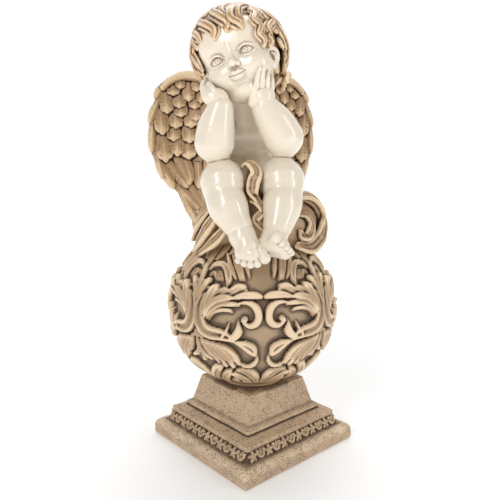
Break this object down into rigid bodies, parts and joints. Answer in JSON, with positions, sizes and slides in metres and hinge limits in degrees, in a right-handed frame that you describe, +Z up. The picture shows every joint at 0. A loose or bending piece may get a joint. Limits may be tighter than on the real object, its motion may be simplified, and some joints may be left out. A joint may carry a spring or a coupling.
{
  "type": "angel figurine",
  "caption": "Plaster cherub with folded wings and arms on its knees, seated on a ball carved with acanthus scrolls, on a stepped square plinth.",
  "frame": {"origin": "centre of the plinth's underside", "axes": "+Z up, the figure faces -Y, +X at the figure's left hand"},
  "size_m": [0.21, 0.21, 0.4418],
  "materials": {
    "plinth_plaster": "tan wash over cast plaster, dark in the pits",
    "antique_plaster": "tan and dark brown wash, ivory gloss on the skin"
  },
  "bodies": {
    "root": {"plinth": "plinth_plaster", "angel_and_ball": "antique_plaster"}
  },
  "joints": []
}
